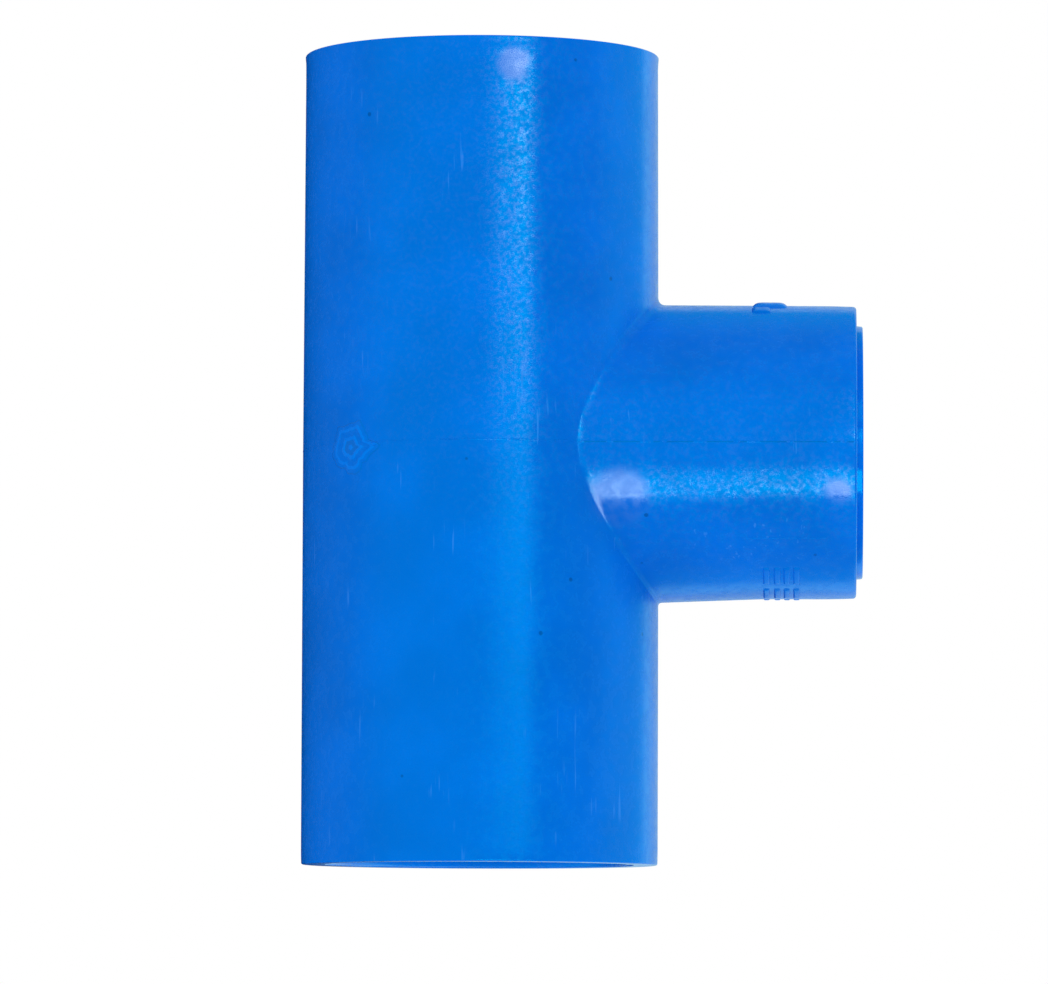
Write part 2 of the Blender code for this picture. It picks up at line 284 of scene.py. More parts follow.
def outer_patches():
    """The outside in mm: sheet round the run, fillet, and branch to its mouth rounding. The fillet is a cubic
    curve from the run to the branch whose handles lie two thirds of the way to the crease."""
    theta = 2 * math.pi * np.arange(AROUND_BRANCH) / AROUND_BRANCH
    crease = saddle_curve(theta)
    on_run, on_branch = fillet_reach(theta)
    mean = RUN_RADIUS / MM
    flat = np.stack([mean * np.arctan2(crease[:, 1], crease[:, 0]), crease[:, 2]], -1)
    outward = flat / np.linalg.norm(flat, axis=1, keepdims=True)
    hole = flat + outward * on_run[:, None]
    angle = hole[:, 0] / mean
    r = run_outer_radius(hole[:, 1])
    start = np.stack([r * np.cos(angle), r * np.sin(angle), hole[:, 1]], -1)
    inward = np.stack([outward[:, 0] * np.sin(angle), -outward[:, 0] * np.cos(angle), -outward[:, 1]], -1)
    x_end = crease[:, 0] + on_branch
    y, z = branch_section(theta, x_end)
    stop = np.stack([x_end, y, z], -1)
    ahead = x_end + 0.01  # a hair further out, for the direction of the branch's wall
    y, z = branch_section(theta, ahead)
    along = np.stack([ahead, y, z], -1) - stop
    along /= np.linalg.norm(along, axis=1, keepdims=True)
    first = start + inward * (on_run * 2 / 3)[:, None]
    second = stop - along * (on_branch * 2 / 3)[:, None]
    t = np.linspace(0, 1, FILLET_ROWS + 1)[:, None, None]
    fillet = ((1 - t) ** 3 * start + 3 * (1 - t) ** 2 * t * first
              + 3 * (1 - t) * t ** 2 * second + t ** 3 * stop)
    top, bottom = RUN_TOP / MM - EDGE_ROUNDING, RUN_BOTTOM / MM + EDGE_ROUNDING
    unrolled = np.stack([angle, hole[:, 1]], -1)
    sheet = sheet_with_hole(unrolled, top, bottom, run_outer_radius, SHEET_ROWS, SHEET_EASE)
    sheet[0] = start
    x_last = BRANCH_FACE / MM - BRANCH_EDGE_ROUNDING
    k = np.linspace(0, 1, BRANCH_ROWS + 1)[:, None]
    x = x_end[None] + (x_last - x_end[None]) * k
    y, z = branch_section(np.broadcast_to(theta, x.shape), x)
    return {"sheet": sheet, "fillet": fillet, "branch": np.stack([x, y, z], -1), "theta": theta}


def run_mouth_profile(end, outer):
    """(radius, distance from the middle) from the outer rounding over the mouth face at end and down the
    socket to the stop and the waterway. A point just inside each of the chamfer's corners softens it."""
    rounding = arc((outer - EDGE_ROUNDING, end - EDGE_ROUNDING), EDGE_ROUNDING, 0, 90, ROUNDING_POINTS)
    mouth, foot = RUN_SOCKET_MOUTH + ENTRY_CHAMFER, end - RIM_RELIEF
    relief = [(mouth + RELIEF_EDGES[0], end), (mouth + RELIEF_EDGES[1], foot)]
    chamfer = [(mouth, foot), (mouth - 0.10, foot - 0.04),
               (RUN_SOCKET_MOUTH + 0.04, end - ENTRY_CHAMFER - 0.06),
               (RUN_SOCKET_MOUTH, end - ENTRY_CHAMFER - 0.2)]
    z = np.linspace(end - WALL_START, RUN_STOP + STOP_ROUNDING, WALL_ROWS)
    slope = (RUN_SOCKET_MOUTH - RUN_SOCKET_BOTTOM) / (end - RUN_STOP)
    wall = np.stack([RUN_SOCKET_BOTTOM + slope * (z - RUN_STOP), z], -1)
    corner = arc((RUN_SOCKET_BOTTOM - STOP_ROUNDING, RUN_STOP + STOP_ROUNDING), STOP_ROUNDING, 0, -90, 4)[1:]
    ledge = [(radius, RUN_STOP) for radius in RUN_LEDGE]
    brow = arc((RUN_WATERWAY + STOP_ROUNDING, RUN_STOP - STOP_ROUNDING), STOP_ROUNDING, 90, 180, 5)
    return np.vstack([rounding, relief, chamfer, wall, corner, ledge, brow])


def branch_mouth_profile():
    """(radius, x) from the branch's rounding over the mouth face to the lip's foot, then down the socket.
    Two of the face's rings lie just outside the lip and two under it."""
    face = BRANCH_FACE / MM
    lip_foot = [(LIP_RADIUS + 0.55, face), (LIP_RADIUS + 0.02, face), (BRANCH_SOCKET_MOUTH + 0.6, face),
                (BRANCH_SOCKET_MOUTH, face)]
    x = np.linspace(face - 0.15, BRANCH_STOP + STOP_ROUNDING, WALL_ROWS)
    slope = (BRANCH_SOCKET_MOUTH - BRANCH_SOCKET_BOTTOM) / (face - BRANCH_STOP)
    wall = np.stack([BRANCH_SOCKET_BOTTOM + slope * (x - BRANCH_STOP), x], -1)
    centre = (BRANCH_SOCKET_BOTTOM - STOP_ROUNDING, BRANCH_STOP + STOP_ROUNDING)
    corner = arc(centre, STOP_ROUNDING, 0, -90, 4)[1:]
    ledge = [(radius, BRANCH_STOP) for radius in BRANCH_LEDGE]
    brow = arc((BRANCH_WATERWAY + STOP_ROUNDING, BRANCH_STOP - STOP_ROUNDING), STOP_ROUNDING, 90, 180, 5)
    return np.vstack([lip_foot, wall, corner, ledge, brow])


def moulding_patches():
    """All the skin's grids in mm, each with its finish: 0 outside, 1 bores, 2 mouth faces.
    Neighbouring grids share their border points, so that merging doubles closes the skin."""
    outside = outer_patches()
    theta = outside["theta"]
    patches = [(outside["sheet"], 0), (outside["fillet"], 0), (outside["branch"], 0)]
    for sign, end in ((1, RUN_TOP / MM), (-1, -RUN_BOTTOM / MM)):
        outer = float(run_outer_radius(sign * (end - EDGE_ROUNDING)))
        turned = run_mouth_profile(end, outer) * np.array([1, sign])
        patches.append((revolve(turned[:RUN_FACE_POINTS], run_angles(), "Z"), 2))
        patches.append((revolve(turned[RUN_FACE_POINTS - 1:], run_angles(), "Z"), 1))
    # Branch rounding: from the last ring of the outside, inwards by the rounding and out to the face.
    ring = outside["branch"][-1]
    size = np.hypot(ring[:, 1], ring[:, 2])[:, None]
    t = np.linspace(0, math.pi / 2, ROUNDING_POINTS)[:, None, None]
    shrink = 1 - BRANCH_EDGE_ROUNDING * (1 - np.cos(t)) / size
    rounding = np.stack([ring[:, 0] + BRANCH_EDGE_ROUNDING * np.sin(t)[..., 0] + 0 * size[:, 0],
                         (ring[:, 1:2] * shrink)[..., 0], (ring[:, 2:3] * shrink)[..., 0]], -1)
    patches.append((rounding, 0))
    profile = branch_mouth_profile()
    turned = revolve(profile, theta, "X")
    patches.append((ruled(rounding[-1], turned[0], 2), 2))
    patches.append((turned[:4], 2))
    patches.append((turned[3:], 1))
    # Branch waterway, from its stop to where it opens into the run's waterway.
    y, z = BRANCH_WATERWAY * np.cos(theta), BRANCH_WATERWAY * np.sin(theta)
    opening = np.stack([np.sqrt(RUN_WATERWAY ** 2 - y ** 2), y, z], -1)
    patches.append((ruled(turned[-1], opening, BRANCH_BORE_ROWS), 1))
    hole = np.stack([np.arctan2(opening[:, 1], opening[:, 0]), z], -1)
    level = RUN_STOP - STOP_ROUNDING
    bore = sheet_with_hole(hole, level, -level, lambda h: RUN_WATERWAY + 0 * h,
                           BORE_SHEET_ROWS, BORE_SHEET_EASE)
    patches.append((bore, 1))
    return patches


def grid_faces(rows, columns, closed, first):
    """Quads of a grid as an array of four point numbers each; a closed grid's last column joins its first."""
    r = np.arange(rows - 1)[:, None]
    c = np.arange(columns if closed else columns - 1)[None]
    n = (c + 1) % columns
    quads = np.stack([r * columns + c, r * columns + n, (r + 1) * columns + n, (r + 1) * columns + c], -1)
    return quads.reshape(-1, 4) + first


def mesh_object(name, grids, caps=(), sharp_angle=35.0, merge=2e-6):
    """One closed mesh from grids of points in mm, each ((rows, columns, 3) array, finish number, closed), and
    caps, each (ring of points, finish number). Doubles nearer than merge, in metres, become one, faces are
    turned outwards, and edges steeper than sharp_angle are marked sharp."""
    points, faces, finish, count = [], [], [], 0
    for grid, number, closed in grids:
        rows, columns = grid.shape[:2]
        quads = grid_faces(rows, columns, closed, count)
        points.append(grid.reshape(-1, 3))
        faces += quads.tolist()
        finish += [number] * len(quads)
        count += rows * columns
    for ring, number in caps:
        points.append(ring)
        faces.append(list(range(count, count + len(ring))))
        finish.append(number)
        count += len(ring)
    mesh = bpy.data.meshes.new(name)
    mesh.from_pydata((np.vstack(points) * MM).tolist(), [], faces)
    mesh.polygons.foreach_set("material_index", finish)
    solid = bmesh.new()
    solid.from_mesh(mesh)
    bmesh.ops.remove_doubles(solid, verts=solid.verts[:], dist=merge)
    bmesh.ops.dissolve_degenerate(solid, edges=solid.edges[:], dist=1e-8)
    bmesh.ops.recalc_face_normals(solid, faces=solid.faces[:])
    open_edges = [e for e in solid.edges if not e.is_manifold]
    if open_edges:
        raise RuntimeError(f"{name} isn't closed: {len(open_edges)} edges")
    if solid.calc_volume(signed=True) < 0:
        bmesh.ops.reverse_faces(solid, faces=solid.faces[:])
    for face in solid.faces:
        face.smooth = True
    limit = math.radians(sharp_angle)
    for edge in solid.edges:
        edge.smooth = edge.calc_face_angle(0.0) < limit
    solid.to_mesh(mesh)
    solid.free()
    piece = bpy.data.objects.new(name, mesh)
    bpy.context.scene.collection.objects.link(piece)
    return piece


def on_run(angle, z, lift):
    """Points in mm at an angle about the run and a height z, lift above its outside."""
    r = run_outer_radius(z) + lift
    return np.stack([r * np.cos(angle), r * np.sin(angle), z], -1)


def on_branch(theta, x, lift):
    """Points in mm at an angle about the branch and a place x, lift above its outside along the radius."""
    y, z = branch_section(theta, x)
    share = 1 + lift / np.hypot(y, z)
    return np.stack([x, y * share, z * share], -1)


# ---------------------------------------------------------------- finishes


def add(tree, kind, settings=None, inputs=None):
    """Adds one node: settings are its properties, and each input is a value or the output that feeds it."""
    node = tree.nodes.new(kind)
    for key, value in (settings or {}).items():
        setattr(node, key, value)
    for key, value in (inputs or {}).items():
        if isinstance(value, bpy.types.NodeSocket):
            tree.links.new(value, node.inputs[key])
        else:
            node.inputs[key].default_value = value
    return node


SMOOTH = {"clamp": True, "interpolation_type": "SMOOTHSTEP"}
BLEND = {"data_type": "RGBA"}


def limits(source, low, high, to_low, to_high):
    """The inputs of a range: source from low..high to to_low..to_high."""
    return {"Value": source, "From Min": low, "From Max": high, "To Min": to_low, "To Max": to_high}


def moulded_pvc(name, colour, roughness, peel, wear, glaze, note):
    """Injection-moulded uPVC, pigmented through. Its noises are sized in mm on Object coordinates: cloud
    (flow of the melt), peel (orange peel of the cavity), grain (coarser than the real grain so that it
    shows), wear (where it was rubbed), spots (small smooth places), edge (the patches' ragged edges) and
    hairline (scratches, 14 times as long as wide). Specks about 0.4 mm across sit in a quarter of the 3.2 mm
    cells.
    peel, wear and glaze scale the bump, the scratches and the clear shine, which lies where the cavity is
    smoothest: in three patches and in the spots, which thin out towards the run's lower end."""
    material = bpy.data.materials.new(name)
    material.use_nodes = True
    material["finish"] = note
    tree = material.node_tree
    tree.nodes.clear()
    place = add(tree, "ShaderNodeTexCoord").outputs["Object"]

    noises = {}
    for key, size, detail, stretch, turn in (
            ("cloud", 9.0, 3.0, (1, 1, 1), (0, 0, 0)), ("peel", 0.8, 2.0, (1, 1, 1), (0, 0, 0)),
            ("grain", 0.16, 1.0, (1, 1, 1), (0, 0, 0)), ("wear", 6.0, 1.0, (1, 1, 1), (0, 0, 0)),
            ("spots", 0.36, 2.0, (1, 1, 1), (0, 0, 0)), ("edge", 1.1, 2.0, (1, 1, 1), (0, 0, 0)),
            ("hairline", 0.35, 1.0, (1, 1, 0.07), (0.12, 0.05, 0))):
        mapped = add(tree, "ShaderNodeMapping", inputs={"Vector": place, "Scale": stretch, "Rotation": turn})
        noises[key] = add(tree, "ShaderNodeTexNoise", inputs={
            "Vector": mapped.outputs["Vector"], "Scale": 1 / (size * MM), "Detail": detail}).outputs["Fac"]
    cells = add(tree, "ShaderNodeTexVoronoi", inputs={"Vector": place, "Scale": 1 / (3.2 * MM)})
    pick = add(tree, "ShaderNodeSeparateColor", inputs={"Color": cells.outputs["Color"]}).outputs[0]
    xyz = add(tree, "ShaderNodeSeparateXYZ", inputs={0: place})
    plan = add(tree, "ShaderNodeCombineXYZ", inputs={0: xyz.outputs["X"], 1: xyz.outputs["Y"]})
    from_axis = add(tree, "ShaderNodeVectorMath", {"operation": "LENGTH"},
                    {0: plan.outputs[0]}).outputs["Value"]
    ragged, reach = [], []
    for centre, radius in POLISHED_PATCHES:
        away = add(tree, "ShaderNodeVectorMath", {"operation": "DISTANCE"},
                   {0: place, 1: tuple(c * MM for c in centre)}).outputs["Value"]
        ragged.append(add(tree, "ShaderNodeMath", {"operation": "MULTIPLY_ADD"},
                          {0: noises["edge"], 1: PATCH_RAGGED * MM, 2: away}).outputs[0])
        reach.append(radius * MM)
    root_end = ROOT_CONE_END * MM
    wall = RUN_RADIUS + 0.05 * MM

    masks = {}
    for key, source, low, high, to_low, to_high in (
            ("flow", noises["cloud"], 0.30, 0.70, 0, 1),
            ("fine", noises["grain"], 0.35, 0.65, 0, 0.35),
            ("chosen", pick, 0.76, 0.78, 0, 1),
            ("dot", cells.outputs["Distance"], 0.045, 0.08, 1, 0),
            ("hair", noises["hairline"], 0.66, 0.74, 0, 1),
            ("rubbed", noises["wear"], 0.55, 0.68, 0, 1),
            ("matt", noises["peel"], 0.35, 0.65, roughness - 0.05, roughness + 0.06),
            ("patch_0", ragged[0], reach[0], reach[0] + 0.9 * MM, 1, 0),
            ("patch_1", ragged[1], reach[1], reach[1] + 0.9 * MM, 1, 0),
            ("patch_2", ragged[2], reach[2], reach[2] + 1.4 * MM, 1, 0),
            ("cone", xyz.outputs["X"], root_end - 0.3 * MM, root_end, 1, 0),
            ("dots", noises["spots"], 0.40, 0.74, 0, 1),
            ("thin_out", xyz.outputs["Z"], -12 * MM, 12 * MM, 0.10, 1),
            ("off_run", from_axis, wall, wall + 0.2 * MM, 0, 0.9)):
        masks[key] = add(tree, "ShaderNodeMapRange", SMOOTH,
                         limits(source, low, high, to_low, to_high)).outputs["Result"]

    for key, operation, first, second in (
            ("speck", "MULTIPLY", "dot", "chosen"), ("scratch", "MULTIPLY", "hair", "rubbed"),
            ("speck_tone", "MULTIPLY", "speck", 0.55), ("scratch_tone", "MULTIPLY", "scratch", 0.45 * wear),
            ("scratch_matt", "MULTIPLY", "scratch", 0.15 * wear), ("gloss", "ADD", "matt", "scratch_matt"),
            ("share", "MAXIMUM", "thin_out", "off_run"), ("shared", "MULTIPLY", "dots", "share"),
            ("sparkle", "MULTIPLY", "shared", glaze), ("root", "MULTIPLY", "patch_2", "cone"),
            ("two", "MAXIMUM", "patch_0", "patch_1"), ("three", "MAXIMUM", "two", "root"),
            ("patches", "MULTIPLY", "three", glaze), ("shine", "MAXIMUM", "patches", "sparkle"),
            ("smoother", "MULTIPLY", "shine", -0.09), ("rough", "ADD", "gloss", "smoother")):
        inputs = {0: masks[first], 1: masks[second] if isinstance(second, str) else second}
        masks[key] = add(tree, "ShaderNodeMath", {"operation": operation}, inputs).outputs[0]

    # The colour is a darker base, then the paler flow, the darker grain, dark specks and whitish scratches.
    tone = (*(c * 0.90 for c in colour), 1.0)
    for key, over in (("flow", tuple(min(1.0, c * 1.06) for c in colour)),
                      ("fine", tuple(c * 0.93 for c in colour)),
                      ("speck_tone", tuple(c * 0.30 for c in colour)),
                      ("scratch_tone", tuple(min(1.0, c * 1.3 + 0.05) for c in colour))):
        tone = add(tree, "ShaderNodeMix", BLEND, {0: masks[key], 6: tone, 7: (*over, 1.0)}).outputs[2]
    # The shine takes the pigment's tint, and is whiter where the skin is smoothest.
    tint = (0.0, 0.86, 1.0, 1.0)
    for key, over in (("sparkle", (0.50, 0.92, 1.0, 1.0)), ("patches", (0.80, 1.0, 1.0, 1.0))):
        tint = add(tree, "ShaderNodeMix", BLEND, {0: masks[key], 6: tint, 7: over}).outputs[2]

    # The bump is the peel with a quarter of the grain on it, and the specks are pits.
    grained = add(tree, "ShaderNodeMath", {"operation": "MULTIPLY_ADD"},
                  {0: noises["grain"], 1: 0.25, 2: noises["peel"]}).outputs[0]
    relief = add(tree, "ShaderNodeMath", {"operation": "MULTIPLY_ADD"},
                 {0: masks["speck"], 1: -1.2, 2: grained}).outputs[0]
    bump = add(tree, "ShaderNodeBump",
               inputs={"Strength": 1.0, "Distance": BUMP_DEPTH * MM * peel, "Height": relief})
    shader = add(tree, "ShaderNodeBsdfPrincipled", inputs={
        "IOR": 1.53, "Metallic": 0.0, "Specular Tint": tint, "Base Color": tone, "Roughness": masks["rough"],
        "Normal": bump.outputs["Normal"]})
    out = add(tree, "ShaderNodeOutputMaterial", inputs={"Surface": shader.outputs["BSDF"]})
    out.is_active_output = True
    return material


def finishes():
    """The finishes, made once and kept by name."""
    settings = bpy.context.scene.tee_finish
    colour = tuple(settings.body_colour)
    # Each is a share of the body colour, roughness, peel, wear, glaze and a note.
    wanted = {
        # Blue uPVC straight from a polished steel cavity: saturated body colour under a soft clear gloss.
        "upvc_moulded_satin": (1.00, 0.24, 1.0, 1.0, 1.0, "outside, polished cavity"),
        # The same plastic from the core pins, drawn off lengthwise: a little duller, and painted darker as
        # painted shade in the bores.
        "upvc_bore_painted_shade": (0.86, 0.34, 0.7, 0.6, 0.0, "bores, drawn off the core pins"),
        # Mouth faces and lip, where the core plates shut off: fine ground steel and smoother, painted paler
        # as painted light.
        "upvc_face_painted_light": (1.06, 0.15, 0.8, 0.4, 0.0, "mouth faces and lip"),
        # Raised marks and the insert's line: crisp edges that catch light, otherwise the body's finish.
        "upvc_raised_mark": (1.02, 0.30, 0.9, 0.6, 0.0, "raised marks"),
        # The gate's torn rings, painted a little paler as painted highlight on their crests, and the steps
        # between them and the foot, painted darker as painted shade.
        "upvc_gate_painted_highlight": (1.20, 0.26, 1.6, 0.8, 0.0, "gate scar, rings"),
        "upvc_gate_painted_shade": (0.88, 0.42, 1.6, 0.4, 0.0, "gate scar, steps"),
        # The parting line: a fine rough edge of flash, duller than the wall.
        "upvc_flash": (0.80, 0.38, 1.4, 0.3, 0.0, "parting line"),
    }
    for name, (share, *rest) in wanted.items():
        if name not in bpy.data.materials:
            tone = tuple(min(1.0, c * share) for c in colour)
            moulded_pvc(name, tone, *rest)
    return [bpy.data.materials[name] for name in wanted]


def settle(piece, nodes, numbers):
    """Gives a piece its finishes in order and its body, and hides the CAD nodes it stands for."""
    made = finishes()
    for number in numbers:
        piece.data.materials.append(made[number])
    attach(piece, "root")
    if nodes:
        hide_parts(*nodes)


# ---------------------------------------------------------------- settings


class TeeFinish(bpy.types.PropertyGroup):
    """Colours that a user would change."""

    body_colour: FloatVectorProperty(
        name="Body colour", description="Pigment of the plastic, through its whole wall", subtype="COLOR",
        size=3, min=0.0, max=1.0, default=linear("#0075EE"))


class TeeSizes(bpy.types.PropertyGroup):
    """Small reliefs that a user would change."""

    mark_height: FloatProperty(
        name="Mark height", description="How far the raised marks stand out", subtype="DISTANCE",
        unit="LENGTH", default=0.33 * MM)
    gate_height: FloatProperty(
        name="Gate scar height", description="Highest ring of the gate scar", subtype="DISTANCE",
        unit="LENGTH", default=0.16 * MM)
    seam_height: FloatProperty(
        name="Seam height", description="Flash left along the parting line", subtype="DISTANCE",
        unit="LENGTH", default=0.03 * MM)


class TeeStage(bpy.types.PropertyGroup):
    """Camera and light."""

    lens: FloatProperty(
        name="Lens", description="Focal length on a 36 mm sensor", subtype="DISTANCE_CAMERA", unit="CAMERA",
        default=258.0)
    key_level: FloatProperty(
        name="Key level", description="Brightness of the soft lights, as a share of the set-up's own",
        subtype="FACTOR", default=1.0, min=0.0, soft_max=2.0)


# ---------------------------------------------------------------- pieces


class TEE_OT_moulding(bpy.types.Operator):
    """Run, branch, saddle fillet, mouths, sockets, stops and waterways in one closed skin"""

    bl_idname = "tee.moulding"
    bl_label = "Moulded body"

    def execute(self, context):
        grids = []
        for grid, number in moulding_patches():
            closed = grid.shape[1] == AROUND_BRANCH
            grids.append((grid, number, closed))
        body = mesh_object("moulded_body", grids)
        # The bores (finish 1) are painted darker as painted shade, and the mouth faces (finish 2) paler as
        # painted light.
        settle(body,
               ["run_barrel", "upper_run_socket", "lower_run_socket", "upper_mouth_rim", "lower_mouth_rim",
                "upper_pipe_stop", "lower_pipe_stop", "branch_neck", "branch_socket", "branch_mouth_rim"],
               [0, 1, 2])
        return {"FINISHED"}


class TEE_OT_lip(bpy.types.Operator):
    """The ring that stands out of the branch's mouth face, round the socket"""

    bl_idname = "tee.lip"
    bl_label = "Branch mouth lip"

    def execute(self, context):
        face, end = BRANCH_FACE / MM, BRANCH_REACH / MM
        inner, outer = BRANCH_SOCKET_MOUTH, LIP_RADIUS
        # Its foot is sunk a little into the mouth face, and a narrower tongue roots it deeper.
        sunk, root = face - 0.01, face - 0.3
        profile = np.vstack([
            [(inner + 0.2, root), (outer - 0.2, root), (outer - 0.2, sunk), (outer, sunk)],
            [(outer - 0.02, face + 0.25)],
            arc((outer - 0.20, end - 0.16), 0.16, 0, 90, 5),
            [(inner + 0.34, end), (inner + 0.26, end - 0.05), (inner + 0.03, end - 0.40)],
            [(inner, face + 0.05), (inner, sunk), (inner + 0.2, sunk), (inner + 0.2, root)],
        ])
        theta = 2 * math.pi * np.arange(AROUND_BRANCH) / AROUND_BRANCH
        lip = mesh_object("branch_lip_ring", [(revolve(profile, theta, "X"), 0, True)])
        # The lip takes the mouth-face finish, painted paler as painted light.
        settle(lip, ["branch_face_lip"], [2])
        return {"FINISHED"}


class TEE_OT_gate(bpy.types.Operator):
    """The scar of the injection gate: low rings on the parting line, drawn out to a point at each side"""

    bl_idname = "tee.gate"
    bl_label = "Gate scar"

    def execute(self, context):
        height = context.scene.tee_sizes.gate_height / MM
        phi = 2 * math.pi * np.arange(GATE_AROUND) / GATE_AROUND
        share = np.linspace(0, 1, GATE_ROWS)[:, None]
        # The outline is a circle with three wobbles, the largest five-sided, and a point at each side.
        reach = GATE_RADIUS + 0.22 * np.cos(5 * phi + 0.6) + 0.08 * np.cos(11 * phi) + 0.05 * np.sin(17 * phi)
        reach = reach + 0.75 * np.exp(-(phi - 2 * math.pi * (phi > math.pi)) ** 2 / 0.03)
        reach = reach + 0.45 * np.exp(-(phi - math.pi) ** 2 / 0.06)
        s = share * reach * np.cos(phi) * 1.05
        z = GATE_Z + share * reach * np.sin(phi)
        # Each ring and the centre button is a bell curve over the radius. The edge rises within the radius's
        # last tenth and starts just under the wall.
        distance = share * GATE_RADIUS + 0 * phi
        rings = sum((level * np.exp(-((distance - radius) / width) ** 2)
                     for level, radius, width in GATE_RINGS), GATE_FLAT)
        lift = height * rings * smooth_step(0.0, 0.10, 1 - share) - 0.02 * (share > 0.999)
        angle = GATE_ANGLE + s / (RUN_RADIUS / MM)
        top = on_run(angle, z, lift)
        foot = on_run(angle[-1:], z[-1:], -0.35 + 0 * z[-1:])
        grid = np.concatenate([top, foot])
        grids = [(grid[first:last + 1], number, True) for first, last, number in GATE_BANDS]
        # The pulled-out thread of plastic at the scar's right end: a low ellipse dome.
        s, z = 2.75 + share * 0.46 * np.cos(phi), GATE_Z + 0.18 + share * 0.13 * np.sin(phi)
        dome = height * (1 - share ** 4) + 0 * phi + 0.01
        angle = GATE_ANGLE + s / (RUN_RADIUS / MM)
        thread = np.concatenate([on_run(angle, z, dome), on_run(angle[-1:], z[-1:], -0.25 + 0 * z[-1:])])
        grids.append((thread, 1, True))
        gate = mesh_object("gate_scar", grids, caps=[(grid[-1], 2), (thread[-1], 1)], sharp_angle=50.0)
        # The button, rings and thread take the painted-highlight finish, and the steps and foot take the
        # painted-shade finish.
        settle(gate, ["gate_vestige"], [0, 4, 5])
        return {"FINISHED"}


class TEE_OT_marks(bpy.types.Operator):
    """Plain raised bars over and under the branch, where such fittings carry their size"""

    bl_idname = "tee.marks"
    bl_label = "Raised marks"

    def bar(self, places, middle, turns, height):
        """A pad on the branch between two places and two turns from a middle angle. Its top is a flat dome:
        height times (1 - u to the 6th)(1 - v to the 10th), u along the branch and v round it."""
        x0, x1 = places
        theta0, theta1 = (middle + turn * math.radians(1) for turn in turns)
        u, v = np.linspace(-1, 1, BAR_ROWS), np.linspace(-1, 1, BAR_COLUMNS)
        shape = (BAR_ROWS, BAR_COLUMNS)
        x = np.broadcast_to(((x0 + x1) / 2 + (x1 - x0) / 2 * u)[:, None], shape)
        theta = np.broadcast_to(((theta0 + theta1) / 2 + (theta1 - theta0) / 2 * v)[None], shape)
        dome = height * (1 - np.abs(u[:, None]) ** 6) * (1 - np.abs(v[None]) ** 10) - 0.01
        top = on_branch(theta, x, dome)
        base = on_branch(theta, x, 0 * x - BAR_ROOT)
        rim = [np.stack([top[0], base[0]]), np.stack([top[-1], base[-1]]),
               np.stack([top[:, 0], base[:, 0]]), np.stack([top[:, -1], base[:, -1]])]
        return [(g, 0, False) for g in (top, base, *rim)]

    def execute(self, context):
        height = context.scene.tee_sizes.mark_height / MM
        up, down = math.radians(90), math.radians(-90)
        upper = []
        for places, turns, share in TOP_BARS:
            upper += self.bar(places, up, turns, height * share)
        mark = mesh_object("raised_mark_top", upper)
        settle(mark, ["top_mark"], [3])
        lower = []
        for places in BOTTOM_BAR_PLACES:
            for turns in BOTTOM_BAR_TURNS:
                lower += self.bar(places, down, turns, height * BOTTOM_BAR_SHARE)
        mark = mesh_object("raised_mark_bottom", lower)
        settle(mark, ["bottom_mark"], [3])
        return {"FINISHED"}


